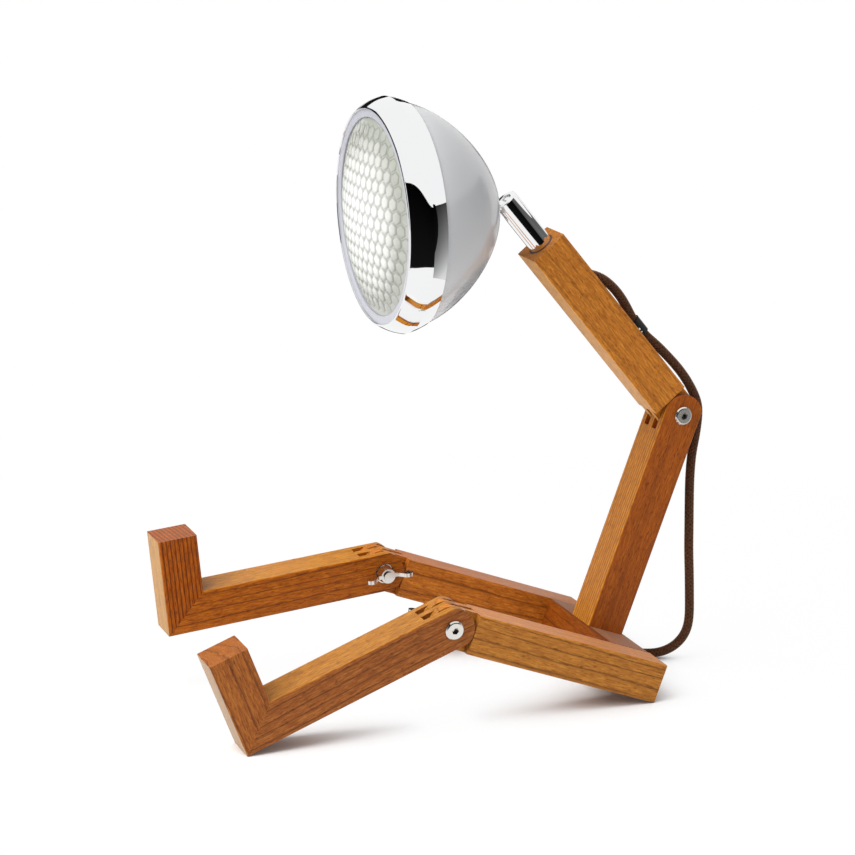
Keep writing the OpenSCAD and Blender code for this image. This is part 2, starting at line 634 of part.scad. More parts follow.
// A plain tube through the points of a route, from point i0 to point i1, which never runs along away
module cord_tube(route, i0, i1, away = [0.6, -0.8, 0]) {
    n = cord_sides;
    last = (i1 - i0)*n;
    polyhedron(
        points = [for (i = [i0:i1]) each ring_at(route, i, away)],
        faces = concat(
            [[for (s = [n - 1:-1:0]) s]],
            [for (r = [0:n:last - n], s = [0:n - 1]) [r + s, r + (s + 1) % n, r + n + (s + 1) % n]],
            [for (r = [0:n:last - n], s = [0:n - 1]) [r + s, r + n + (s + 1) % n, r + n + s]],
            [[for (s = [0:n - 1]) last + s]]
        )
    );
}
cord_brown = "#6b4a38";
module cord_arm() color(cord_brown) cord_tube(cord_route, 0, arm_end);
module cord_elbow() color(cord_brown) cord_tube(cord_route, arm_end, elbow_end);
module cord_hang() color(cord_brown) cord_tube(cord_route, elbow_end, len(cord_route) - 1);
module cord_link() color(cord_brown) cord_tube(link_route, 0, len(link_route) - 1, [0, 0, 1]);
module cord_tail() color(cord_brown) cord_tube(tail_route, 0, len(tail_route) - 1, [0, 0, 1]);
module cord_coil() color(cord_brown) translate([coil_x, coil_y, 0]) rotate_extrude() {
    translate([coil_inner - cord_d/2, 0]) square([coil_outer - coil_inner + cord_d, cord_d]);
    translate([coil_inner - cord_d/2, 0]) square([coil_upper - coil_inner + cord_d, 2*cord_d]);
}

// A saddle over the cord, with an ear on each side
clip_y = half_d + cord_d/2 + 0.3;
module clip_section() difference() {
    union() {
        translate([0, clip_y]) circle(clip_bore_r + clip_wall);
        translate([-clip_bore_r - clip_wall, half_d]) square([2*(clip_bore_r + clip_wall), clip_y - half_d]);
        translate([-clip_bore_r - clip_ear, half_d]) square([2*(clip_bore_r + clip_ear), clip_wall]);
    }
    translate([0, clip_y]) circle(clip_bore_r);
    translate([-clip_bore_r, half_d - 1]) square([2*clip_bore_r, clip_y - half_d + 1]);
}
module place_clip_screws() for (side = [-1, 1])
    translate([side*(clip_bore_r + clip_ear*0.6), half_d, clip_z]) rotate([90, 0, 0]) children();
module cord_clip() color("silver") at_arm() difference() {
    translate([0, 0.02, clip_z - clip_len/2]) linear_extrude(clip_len) clip_section();
    place_clip_screws() cylinder(h = 9, d = 2.4, center = true);
}
module clip_screws() color("silver") at_arm() place_clip_screws() difference() {
    union() {
        translate([0, 0, -clip_wall - 1]) cylinder(h = 0.95, d = 4.2);
        translate([0, 0, -clip_wall - 0.1]) cylinder(h = clip_wall + 4, d = 2);
    }
    translate([-3, -0.3, -clip_wall - 2]) cube([6, 0.6, 1.5]);
}

switch_mid = (switch_x0 + switch_x1)/2;
module switch_outline(inset = 0) translate([switch_mid, switch_y]) {
    l = switch_x1 - switch_x0 - 2*inset;
    w = switch_w - 2*inset;
    c = switch_corner - inset;
    square([l - 2*c, w], center = true);
    square([l, w - 2*c], center = true);
    for (x = [-1, 1], y = [-1, 1]) translate([x*(l/2 - c), y*(w/2 - c)]) circle(c);
}
rocker_z = switch_h - 4;
module rocker_place() translate([switch_mid, switch_y, rocker_z]) children();
module rocker_well() rocker_place() translate([-rocker_l/2 - rocker_gap, -rocker_w/2 - rocker_gap, -4.5])
    cube([rocker_l + 2*rocker_gap, rocker_w + 2*rocker_gap, switch_h]);
module rocker_pin(len, r) rocker_place() rotate([90, 0, 0]) cylinder(h = len, r = r, center = true);
module switch_base() color("#3b2a22") difference() {
    linear_extrude(switch_split - joint_gap) switch_outline();
    rocker_well();
}
module switch_cover() color("#3b2a22") difference() {
    union() {
        translate([0, 0, switch_split]) linear_extrude(switch_h - switch_split - 1) switch_outline();
        translate([0, 0, switch_h - 1.5]) linear_extrude(1.5) switch_outline(1);
    }
    rocker_well();
    rocker_pin(rocker_w + 4.2, rocker_pin_d/2 + pivot_clear);
}
module switch_rocker() color("#241a15") {
    rocker_place() rotate([0, -rocker_tilt, 0]) translate([0, rocker_w/2, 0]) rotate([90, 0, 0])
        linear_extrude(rocker_w) difference() {
            translate([-rocker_l/2 + 0.5, -2]) square([rocker_l - 1, 7.2]);
            translate([0, rocker_r + 3.2]) circle(rocker_r);
        }
    rocker_pin(rocker_w + 4, rocker_pin_d/2);
}

// The plug's own frame: X from the cord towards the pins
module at_plug() translate([plug_x, plug_y, plug_z]) rotate([0, 0, -90]) children();
module plug_body() color("#241a15") at_plug() {
    intersection() {
        translate([0, 0, -plug_h/2]) linear_extrude(plug_h) polygon([
            [0, -8], [12, -plug_w/2 + 1], [plug_len - 4, -plug_w/2], [plug_len, -plug_w/2 + 4],
            [plug_len, plug_w/2 - 4], [plug_len - 4, plug_w/2], [12, plug_w/2 - 1], [0, 8]
        ]);
        translate([0, plug_w, 0]) rotate([90, 0, 0]) linear_extrude(2*plug_w) polygon([
            [0, -5], [12, -plug_h/2], [plug_len, -plug_h/2], [plug_len, plug_h/2], [12, plug_h/2], [0, 5]
        ]);
    }
    translate([-relief_len, 0, 0]) rotate([0, 90, 0]) difference() {
        cylinder(h = relief_len + 0.5, d1 = cord_d + 1.4, d2 = 10);
        for (k = [1:4]) translate([0, 0, 2.2*k]) difference() {
            cylinder(h = 1.2, d = 14);
            cylinder(h = 1.2, d = cord_d + 0.6 + 0.5*k);
        }
    }
}
module plug_pins() color("silver") at_plug() for (side = [-1, 1])
    translate([plug_len + 0.02, side*pin_pitch/2, 0]) rotate([0, 90, 0]) {
        cylinder(h = pin_len - 1, d = pin_d);
        translate([0, 0, pin_len - 1]) cylinder(h = 1, d1 = pin_d, d2 = pin_d - 1.6);
    }

thigh_left();
thigh_right();
pelvis_block();
seat_dowels();
lower_torso();
torso_dowels();
torso_screw();
elbow_bolt();
elbow_washer();
elbow_wingnut();
shin_left();
foot_left();
foot_dowel_left();
knee_bolt_left();
knee_washer_left();
knee_wingnut_left();
shin_right();
foot_right();
foot_dowel_right();
knee_bolt_right();
knee_washer_right();
knee_wingnut_right();
upper_torso();
neck_bush();
cord_clip();
clip_screws();
neck_tube();
neck_sleeve();
neck_nut();
ball_seat();
neck_lead();
head_stem();
head_washer();
head_nut();
head_leads();
shell();
bezel();
lens_ring();
lens();
lens_gasket();
reflector();
reflector_clips();
lamp_holder();
bulb();
cord_arm();
cord_elbow();
cord_hang();
cord_link();
cord_coil();
cord_tail();
switch_base();
switch_cover();
switch_rocker();
plug_body();
plug_pins();
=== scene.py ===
# %% [markdown]
# # A wooden desk lamp that sits like a robot
#
# The lamp is made of square hardwood sticks with finger joints, held by bolts and wing nuts. Its round
# head is a painted bowl with a chromed bezel and a honeycomb lens, on a chromed tube. The construction
# comes in as a finished frame: every stick, bolt and joint already has its true size and place. This
# lesson dresses it, and adds the curved pieces that need a smoother mesh than a construction model has.

import json
import math

import bmesh
import bpy
import numpy as np
from mathutils import Matrix, Vector


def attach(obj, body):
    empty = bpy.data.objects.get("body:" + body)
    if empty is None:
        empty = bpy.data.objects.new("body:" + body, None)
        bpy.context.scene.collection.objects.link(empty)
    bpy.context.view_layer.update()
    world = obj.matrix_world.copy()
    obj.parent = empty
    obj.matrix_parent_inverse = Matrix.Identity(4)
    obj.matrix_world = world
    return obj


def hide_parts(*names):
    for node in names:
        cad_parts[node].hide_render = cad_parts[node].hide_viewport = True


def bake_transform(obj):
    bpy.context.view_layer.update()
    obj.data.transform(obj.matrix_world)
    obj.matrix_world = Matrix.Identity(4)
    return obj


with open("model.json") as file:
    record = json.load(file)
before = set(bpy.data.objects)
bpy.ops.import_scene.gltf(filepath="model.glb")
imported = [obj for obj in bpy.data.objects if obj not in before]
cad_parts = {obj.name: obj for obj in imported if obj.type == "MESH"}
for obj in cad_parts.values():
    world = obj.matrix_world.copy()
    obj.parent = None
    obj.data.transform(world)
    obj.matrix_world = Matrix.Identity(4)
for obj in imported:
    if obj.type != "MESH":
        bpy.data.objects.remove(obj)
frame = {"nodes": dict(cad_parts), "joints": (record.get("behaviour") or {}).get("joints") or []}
nodes = frame["nodes"]
joints = {j["name"]: j for j in frame["joints"]}
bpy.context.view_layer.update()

# %% [markdown]
# ## Where everything is
#
# Each stick has its own directions, which its grain has to follow, and the head has its own axis, which
# its round pieces are spun about. These could be typed as coordinates, but they would then be wrong as
# soon as the lamp sat differently. A matrix for each place is worked out once instead, from the joints'
# positions and the angles at which the lamp sits.

# %% The frames of the lamp's parts
MM = 0.001
SEAT_PITCH = math.radians(20.557)
KNEE_BEND = {"left": math.radians(41.5), "right": math.radians(26)}
NECK_TILT = math.radians(-joints["head_tilt"]["range_deg"][0])
neck_axis = Vector(joints["neck_swivel"]["axis"])
ELBOW_LEAN = math.atan2(-neck_axis.y, neck_axis.z)


def place(joint, turn_about_x):
    """A frame at that joint, turned about the lamp's X axis."""
    return Matrix.Translation(Vector(joints[joint]["pos_m"])) @ Matrix.Rotation(turn_about_x, 4, "X")


seat_frame = place("elbow", -SEAT_PITCH)
arm_frame = place("elbow", ELBOW_LEAN)
head_frame = place("head_tilt", ELBOW_LEAN + NECK_TILT)
shin_frames = {side: place("knee_" + side, bend - SEAT_PITCH) for side, bend in KNEE_BEND.items()}
print("head axis:", [round(v, 3) for v in head_frame.to_3x3() @ Vector((0, 0, 1))])

# %% [markdown]
# ## The camera
#
# A short lens would spread the legs apart, and a camera without perspective would lose the nearer foot's
# size. A long lens from the lamp's left front, a little above it, keeps the sticks' edges almost
# parallel and still shows which foot is nearer.

# %% Camera
IMAGE = 855
FOCAL_PIXELS = 2837.1
SENSOR = 36
CAMERA_AT = Vector((1.5783, -0.6049, 0.6001))
CAMERA_LOOK = Vector((-0.906345, 0.342538, -0.2474))

camera = bpy.data.objects.new("camera", bpy.data.cameras.new("camera"))
bpy.context.scene.collection.objects.link(camera)
camera.data.sensor_width = SENSOR
camera.data.lens = FOCAL_PIXELS / IMAGE * SENSOR
camera.data.clip_end = 20
camera.location = CAMERA_AT
camera.rotation_euler = CAMERA_LOOK.to_track_quat("-Z", "Y").to_euler()
bpy.context.scene.camera = camera
bpy.context.scene.view_settings.view_transform = "Standard"
print("lens:", round(camera.data.lens, 1), "mm")

# %% [markdown]
# ## The cord's route
#
# A textile flex leaves a slanted hole in the back of the arm, is held by a clip, swings round the elbow
# and hangs to the ground. There it runs behind the seat, through a switch, into a neat coil and out to
# its plug. It could be dropped by a simulation, but a flex keeps the curves that a hand has put it in.
# So the route is a list of points in millimetres, with a coil worked out by a loop.

# %% Points of the route
CORD_DIAMETER = 6
ROUTE = [
    (0, 90, 260.5), (0, 99, 257.5), (0, 106.5, 255), (0, 114, 249), (0, 120, 242), (0, 126, 232),
    (0, 128.5, 227), (0, 136.5, 217), (0, 145, 209.5), (0, 153, 201.5), (0, 160.8, 193),
    (0, 167.6, 183.8), (0, 172.9, 174.2), (0, 175.6, 166.5), (0, 175.4, 158), (0, 174.2, 148),
    (0, 172, 136), (1, 170.5, 121), (2, 170, 105), (3.5, 169.5, 89), (5, 169, 73), (6.5, 169, 58),
    (7.5, 169, 43), (8, 169, 31), (7.6, 168.2, 22.5), (6.3, 166, 16), (4.2, 162.4, 10.6),
    (1.5, 157.7, 6.5), (-1.6, 151.8, 3.9), (-5.4, 145.2, 3), (-10.9, 137.8, 3.1), (-18.3, 132, 4.4),
    (-26.5, 129.5, 6), (-36, 129.5, 6), (-53, 129.5, 6), (-70, 129.5, 6),
]
LINK = [(-78.6, 129.5, 6), (-84.4, 128.7, 6.6), (-89.9, 126.5, 7.6), (-94.5, 122.9, 8.7),
        (-98.1, 118.3, 9.4), (-100.3, 112.8, 9.3), (-101.1, 107, 9.1), (-99.7, 99.1, 9)]
TAIL = [(-85.2, 80, 6.3), (-85.2, 73, 6.8), (-85.2, 67, 7), (-85.2, 64, 7)]
print("route outside the coil:", len(ROUTE) + len(LINK) + len(TAIL), "points")

# %% Points of the coil
COIL_CENTRE = (-132, 86.8)
COIL_FROM = 21  # degrees: where the cord comes in on the upper layer
COIL_UPPER = 34.6  # the radius there
COIL_INNER = 21  # the radius at which it goes down to the lower layer
DESCENT = 177  # degrees that the way down takes
DESCENT_DIP = 0.6  # how far it cuts inwards on that way
LOWER_SWEEP = 1548  # degrees of the lower layer
LIFT_SWEEP = 50  # the last degrees of it, on which the cord rises
LIFT = 2.7  # to leave the floor for the plug
COIL_STEP = 15  # degrees between points
UPPER_LAYER, LOWER_LAYER = 1.5, 0.5  # heights in diameters


def coil_point(angle, radius, height):
    turn = math.radians(angle)
    return (COIL_CENTRE[0] + radius * math.cos(turn), COIL_CENTRE[1] + radius * math.sin(turn), height)


def steps(sweep):
    """Even steps over a sweep, of about COIL_STEP degrees each."""
    count = round(sweep / COIL_STEP)
    return [sweep * k / count for k in range(1, count + 1)]


def coil():
    """In on the upper layer, down at the middle, and out on the lower layer, one diameter a turn."""
    points, angle = [], COIL_FROM
    upper_sweep = 360 * (COIL_UPPER - COIL_INNER) / CORD_DIAMETER
    for swept in steps(upper_sweep):
        points.append(coil_point(angle - swept, COIL_UPPER - CORD_DIAMETER * swept / 360,
                                 UPPER_LAYER * CORD_DIAMETER))
    angle -= upper_sweep
    for swept in steps(DESCENT):
        share = swept / DESCENT
        drop = share * share * (3 - 2 * share)
        points.append(coil_point(angle - swept, COIL_INNER - DESCENT_DIP * math.sin(math.pi * share),
                                 (UPPER_LAYER - drop) * CORD_DIAMETER))
    angle -= DESCENT
    for swept in steps(LOWER_SWEEP):
        risen = max(0, 1 - (LOWER_SWEEP - swept) / LIFT_SWEEP)
        points.append(coil_point(angle - swept, COIL_INNER + CORD_DIAMETER * swept / 360,
                                 LOWER_LAYER * CORD_DIAMETER + LIFT * risen * risen))
    return points


route = ROUTE + LINK + coil() + TAIL
print("route:", len(route), "points")

# %% [markdown]
# A Bezier curve with a round bevel would also make a cord, but its length could only be guessed. A
# spline through the points, sampled closely and relaxed a little, is a line that can be measured.

# %% A smooth line through the points
SAMPLE = 1.5 * MM
SAMPLES_A_SPAN = 12
SMOOTHING_PASSES = 12


def spline(points):
    """Catmull-Rom through the points, resampled evenly and relaxed a little."""
    p = np.array(points, float)
    p = np.vstack([2 * p[0] - p[1], p, 2 * p[-1] - p[-2]])
    found = []
    for i in range(1, len(p) - 2):
        for t in np.linspace(0, 1, SAMPLES_A_SPAN, endpoint=False):
            found.append(0.5 * (2 * p[i] + (p[i + 1] - p[i - 1]) * t
                                + (2 * p[i - 1] - 5 * p[i] + 4 * p[i + 1] - p[i + 2]) * t ** 2
                                + (3 * p[i] - p[i - 1] - 3 * p[i + 1] + p[i + 2]) * t ** 3))
    line = np.array(found + [p[-2]])
    gone = np.concatenate([[0], np.cumsum(np.linalg.norm(np.diff(line, axis=0), axis=1))])
    even = np.linspace(0, gone[-1], int(gone[-1] / SAMPLE) + 1)
    line = np.column_stack([np.interp(even, gone, line[:, k]) for k in range(3)])
    for _ in range(SMOOTHING_PASSES):
        line[1:-1] += 0.5 * (0.5 * (line[:-2] + line[2:]) - line[1:-1])
    return line


cord_line = spline(np.array(route) * MM)

# %% [markdown]
# The flex is a tube swept along that line. Its UV map counts metres along the cord and turns around it,
# so the weave on it later keeps its scale wherever the cord bends. A helper that every new piece shares
# turns a bmesh into an object, smooth except at its sharp edges.

# %% From a bmesh to an object
def finished(name, bm, matrix=None, sharp_angle=30):
    """Turns a bmesh into an object at the origin, smooth except at its sharp edges."""
    if matrix is not None:
        bmesh.ops.transform(bm, matrix=matrix, verts=bm.verts)
    bmesh.ops.recalc_face_normals(bm, faces=bm.faces)
    mesh = bpy.data.meshes.new(name)
    bm.to_mesh(mesh)
    bm.free()
    mesh.polygons.foreach_set("use_smooth", [True] * len(mesh.polygons))
    mesh.set_sharp_from_angle(angle=math.radians(sharp_angle))
    made = bpy.data.objects.new(name, mesh)
    bpy.context.scene.collection.objects.link(made)
    print(name + ":", len(mesh.polygons), "faces")
    return made


# %% The flex as a tube
CORD_SIDES = 16
FIRST_SIDE = (1, 0.3, 0)  # any direction across the start of the line


def tube(name, line, radius, sides):
    """A closed tube along the line, with UV in turns round it and metres along it."""
    bm = bmesh.new()
    uv = bm.loops.layers.uv.new("UVMap")
    ahead = np.gradient(line, axis=0)
    ahead /= np.linalg.norm(ahead, axis=1)[:, None]
    side = np.cross(ahead[0], FIRST_SIDE)
    turns = [2 * math.pi * k / sides for k in range(sides)]
    gone, rings, run = 0, [], []
    for i, point in enumerate(line):
        side -= ahead[i] * side.dot(ahead[i])
        side /= np.linalg.norm(side)
        up = np.cross(ahead[i], side)
        rings.append([bm.verts.new(point + radius * (math.cos(a) * side + math.sin(a) * up))
                      for a in turns])
        gone += float(np.linalg.norm(point - line[i - 1])) if i else 0
        run.append(gone)
    for i in range(len(rings) - 1):
        for k in range(sides):
            n = (k + 1) % sides
            face = bm.faces.new((rings[i][k], rings[i][n], rings[i + 1][n], rings[i + 1][k]))
            for loop, (u, v) in zip(face.loops, ((k, i), (k + 1, i), (k + 1, i + 1), (k, i + 1))):
                loop[uv].uv = (u / sides, run[v])
    bm.faces.new(list(reversed(rings[0])))
    bm.faces.new(rings[-1])
    return finished(name, bm)


cord = tube("textile_cord", cord_line, CORD_DIAMETER / 2 * MM, CORD_SIDES)

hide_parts("cord_arm", "cord_elbow", "cord_hang", "cord_link", "cord_coil", "cord_tail")
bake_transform(cord)

# %% [markdown]
# ## Materials
#
# Every finish is a small node tree. Written out, such a tree is a long list of nodes and links. A few
# helpers keep it short: one makes a node and wires its inputs, the others are patterns that several
# finishes share. A value that is the same all over a surface is set on the shader's own socket.

# %% Helpers for node trees
class Tree:
    """A node tree, built by calls that name a node and what goes into it."""

    def __init__(self, owner):
        owner.use_nodes = True
        self.owner = owner
        self.tree = owner.node_tree
        self.shader = self.tree.nodes.get("Principled BSDF")

    def node(self, kind, inputs=None, **settings):
        made = self.tree.nodes.new("ShaderNode" + kind)
        for key, value in settings.items():
            setattr(made, key, value)
        for key, value in (inputs or {}).items():
            self.into(made.inputs[key], value)
        return made

    def into(self, socket, value):
        if isinstance(value, bpy.types.NodeSocket):
            self.tree.links.new(value, socket)
        else:
            socket.default_value = value

    def shade(self, **values):
        for key, value in values.items():
            self.into(self.shader.inputs[key.replace("_", " ")], value)

    def math(self, operation, a, b=0.0, c=0.0, clamp=False):
        return self.node("Math", {0: a, 1: b, 2: c}, operation=operation, use_clamp=clamp).outputs[0]

    def noise(self, vector, scale, detail=4.0, roughness=0.55):
        return self.node("TexNoise", {"Vector": vector, "Scale": scale, "Detail": detail,
                                      "Roughness": roughness}).outputs["Fac"]

    def ramp(self, factor, *stops):
        made = self.node("ValToRGB", {"Fac": factor})
        elements = made.color_ramp.elements
        for i, (at, colour) in enumerate(stops):
            element = elements[i] if i < 2 else elements.new(at)
            element.position = at
            element.color = (*colour, 1)
        return made.outputs["Color"]

    def smooth_step(self, value, low, high, top=1.0):
        return self.node("MapRange", {"Value": value, "From Min": low, "From Max": high, "To Max": top},
                         interpolation_type="SMOOTHSTEP").outputs[0]

    def mix(self, factor, a, b, blend="MIX"):
        made = self.node("Mix", data_type="RGBA", blend_type=blend)
        for index, value in ((0, factor), (6, a), (7, b)):
            if not isinstance(value, bpy.types.NodeSocket) and index:
                value = (*value[:3], 1)
            self.into(made.inputs[index], value)
        return made.outputs[2]

    def coords(self):
        return self.node("TexCoord").outputs["Object"]

    def local(self, matrix, offset=0.0):
        """Object coordinates in a part's own frame, moved along by an offset."""
        at = self.node("Mapping", {"Vector": self.coords(), "Location": matrix.to_translation(),
                                   "Rotation": matrix.to_euler()}, vector_type="TEXTURE").outputs[0]
        if offset:
            at = self.node("Mapping", {"Vector": at, "Location": (offset,) * 3},
                           vector_type="POINT").outputs[0]
        return at

    def stretch(self, vector, scale):
        return self.node("Mapping", {"Vector": vector, "Scale": scale}, vector_type="POINT").outputs[0]

    def bump(self, height, strength, distance=0.001):
        return self.node("Bump", {"Height": height, "Strength": strength,
                                  "Distance": distance}).outputs[0]

    def seen(self):
        """1 for rays that show a thing, also in metal and in glass, and 0 for rays that light."""
        rays = self.node("LightPath").outputs
        return self.math("MAXIMUM", rays["Is Camera Ray"],
                         self.math("MAXIMUM", rays["Is Glossy Ray"], rays["Is Transmission Ray"]))


def new_finish(name):
    return Tree(bpy.data.materials.new(name))


def wear(target, material):
    """Puts a material on a piece, or on a frame node by its name."""
    piece = nodes[target] if isinstance(target, str) else target
    piece.data.materials.clear()
    piece.data.materials.append(material)


print("frame nodes to dress:", len(nodes))

# %% [markdown]
# ## Wood
#
# The sticks are oiled hardwood. A wave texture alone would give stripes as regular as a printed film, so
# the colour comes from layers laid over each other along the grain: a soft drift from stick to stick,
# fine fibres, thin dark lines where growth rings are cut lengthwise, and short dark pores. The pattern
# lives in the stick's own frame, stretched along it, so that the end grain turns to arcs and dots by
# itself. One face of each stick, found by the direction in which the surface looks, is painted paler and
# tinted: painted light, for the lamp light and the glare that this face catches. Its growth lines have a
# depth of their own.

# %% Layers of the grain
# How often a layer varies in a metre: across the stick, along it, and across it again.
DRIFT, PATCH, STREAK = (26, 2.6, 26), (60, 9, 60), (210, 7, 210)
FIBRE, PORE = (1050, 125, 1050), (1500, 300, 1500)
GRAIN_SHADES = ((0.150, 0.038, 0.0065), (0.285, 0.083, 0.0125), (0.420, 0.150, 0.030))
GRAIN_MIDDLE = 0.52
LATE_WOOD = 0.6  # the rings' lines against the darkest fibre
RING_SHARPNESS = 0.6  # for rings a millimetre apart; wider ones have thinner lines for their pitch
PORE_TINT = (0.58, 0.5, 0.43)
FACE_FROM, FACE_BY = 0.6, 0.95  # cosines between which the painted light on the lit face begins


def growth_rings(t, at, fibre, drift, pitch, slant, wander):
    """Thin lines that lie a pitch apart at a slant, waver with the fibres and wander with the drift."""
    slant, per_metre = math.radians(slant), 2 * math.pi / pitch
    across = t.node("SeparateXYZ", {"Vector": at}).outputs
    ring = t.math("ADD", t.math("MULTIPLY", across[0], math.cos(slant) * per_metre),
                  t.math("MULTIPLY", across[2], math.sin(slant) * per_metre))
    wave = t.math("SINE", t.math("ADD", t.math("ADD", ring, t.math("MULTIPLY", fibre, 1.6)),
                                 t.math("MULTIPLY", drift, wander)))
    return t.math("POWER", t.math("MULTIPLY", t.math("ADD", wave, 1.0), 0.5),
                  RING_SHARPNESS * (pitch / MM) ** 2)


# The mask of the painted light: the face that catches the lamp light and the glare.
def painted_light_face(t, matrix):
    """1 on the face towards the matrix's Z axis, 0 on the others."""
    outwards = t.node("VectorMath", {0: t.node("TexCoord").outputs["Normal"],
                                     1: matrix.to_3x3() @ Vector((0, 0, 1))}, operation="DOT_PRODUCT")
    return t.smooth_step(outwards.outputs["Value"], FACE_FROM, FACE_BY)


print("layers of grain:", len((DRIFT, PATCH, STREAK, FIBRE, PORE)))

# %% Oiled wood
def wood(name, matrix, tone, seed, lines=0.8, softness=0.2, pitch=6 * MM, slant=65, wander=22.0,
         face=(1.2, 1.4, 1.15), face_lines=0.2):
    """Grain runs along the matrix's own Y axis, and the face towards its Z axis is paler and plainer.

    tone brightens red, green and blue, and face does so again on the paler face, as painted light for
    the lamp light and glare that this face catches. lines and face_lines deepen the growth rings, which
    are a pitch apart, lie at a slant and wander. softness evens the fibres.
    """
    dark, mid, light = ([c * k for c, k in zip(shade, tone)] for shade in GRAIN_SHADES)
    t = new_finish(name)
    at = t.local(matrix, seed)
    lit_face_mask = painted_light_face(t, matrix)
    drift = t.noise(t.stretch(at, DRIFT), 1.0, 3.0, 0.5)
    patch = t.noise(t.stretch(at, PATCH), 1.0, 2.0)
    fibre = t.noise(t.stretch(at, FIBRE), 1.0, 3.0, 0.72)
    streak = t.noise(t.stretch(at, STREAK), 1.0, 3.0, 0.6)
    pore = t.noise(t.stretch(at, PORE), 1.0, 1.0, 0.4)
    line = growth_rings(t, at, fibre, drift, pitch, slant, wander)

    grain = t.math("ADD", t.math("MULTIPLY", fibre, 0.8), t.math("MULTIPLY", streak, 0.2))
    colour = t.ramp(grain, (GRAIN_MIDDLE - softness, dark), (GRAIN_MIDDLE + softness, light),
                    (GRAIN_MIDDLE, mid))
    depth = t.math("ADD", t.math("MULTIPLY", lit_face_mask, face_lines - lines), lines)
    late = t.math("MULTIPLY", line, t.math("MULTIPLY", patch, 1.9, clamp=True))
    colour = t.mix(t.math("MULTIPLY", late, depth), colour, [c * LATE_WOOD for c in dark])
    colour = t.mix(0.85, colour, t.ramp(pore, (0.3, PORE_TINT), (0.4, (1, 1, 1))), "MULTIPLY")
    # Painted light: face brightens and tints the face that catches the lamp light and glare.
    colour = t.mix(1.0, colour, t.mix(lit_face_mask, (1, 1, 1), face), "MULTIPLY")
    t.shade(Base_Color=colour, Roughness=t.ramp(fibre, (0.3, (0.38,) * 3), (0.75, (0.54,) * 3)),
            Normal=t.bump(t.math("ADD", fibre, t.math("MULTIPLY", pore, 0.8)), 0.25, 0.0003),
            Specular_IOR_Level=0.18, Sheen_Weight=0.28, Sheen_Roughness=0.3,
            Sheen_Tint=(1.0, 0.86, 0.74, 1))
    return t.owner


# %% One finish for each stick
cross_seat = seat_frame @ Matrix.Rotation(math.pi / 2, 4, "Z")
up_stick = Matrix.Rotation(math.pi / 2, 4, "X")
# Each face tint is painted light on the stick's face that catches the lamp light and glare.
STICKS = {
    "thigh_left": (seat_frame, dict(
        tone=(1.42, 1.8, 1.5), seed=0.3, softness=0.24, face=(1.5, 1.35, 1.5))),
    "thigh_right": (seat_frame, dict(
        tone=(1.6, 1.6, 0.95), seed=1.7, face=(1.1, 1.05, 1.3))),
    # The pelvis block's tone is set below the other sticks' own wood colour: painted shade for the
    # corner between the thighs.
    "pelvis_block": (cross_seat, dict(
        tone=(0.8, 0.6, 0.15), seed=2.9)),
    "lower_torso": (seat_frame @ up_stick, dict(
        tone=(1.12, 0.88, 0.2), seed=4.1, lines=0.25, softness=0.24, pitch=2.6 * MM, slant=12,
        wander=9.0, face=(1.45, 2.25, 5.5), face_lines=0.9)),
    "upper_torso": (arm_frame @ up_stick, dict(
        tone=(1.68, 1.95, 1.25), seed=5.3, lines=0.45, softness=0.24, face=(1.36, 1.75, 2.2))),
    "shin_left": (shin_frames["left"], dict(
        tone=(1.0, 1.02, 1.08), seed=6.1, face=(1.37, 1.8, 1.4))),
    "shin_right": (shin_frames["right"], dict(
        tone=(1.25, 1.08, 0.3), seed=7.1, face=(1.32, 1.95, 3.0))),
    "foot_left": (shin_frames["left"] @ up_stick, dict(
        tone=(1.07, 1.08, 1.0), seed=8.3, pitch=9 * MM, face=(1.0, 1.8, 4.5))),
    "foot_right": (shin_frames["right"] @ up_stick, dict(
        tone=(1.15, 0.87, 0.13), seed=9.3, lines=1.0, pitch=2.6 * MM, slant=85, wander=5.0,
        face=(1.15, 2.35, 14.0))),
}
for name, (stick, grain) in STICKS.items():
    wear(name, wood("wood_" + name, stick, **grain))
print("sticks:", len(STICKS))

# %% [markdown]
# ## Metals and paint
#
# Chrome is a mirror: what it shows is the room, so its own colour hardly counts. Nickel plate on the
# bolts is warmer and a little duller, and the clip is blacked. One roughness for a whole surface looks
# like a drawing, so faint smears vary it. The bowl's grey paint has a clear coat, which gives a sharp
# reflection over a soft one.

# %% Chrome, nickel and grey paint
SMEAR_SCALE, PAINT_GRAIN = 60.0, 500.0


def metal(name, colour, roughness, smear=0.02):
    t = new_finish(name)
    cloud = t.noise(t.coords(), SMEAR_SCALE, 3.0)
    t.shade(Base_Color=(*colour, 1), Metallic=1.0,
            Roughness=t.math("MULTIPLY_ADD", cloud, smear, roughness))
    return t.owner


def paint(name, colour, roughness, coat, coat_ior=1.5):
    t = new_finish(name)
    cloud = t.noise(t.coords(), PAINT_GRAIN, 2.0)
    t.shade(Base_Color=(*colour, 1), Roughness=roughness, Normal=t.bump(cloud, 0.03, 0.0002),
            Coat_Weight=coat, Coat_Roughness=0.03, Coat_IOR=coat_ior)
    return t.owner


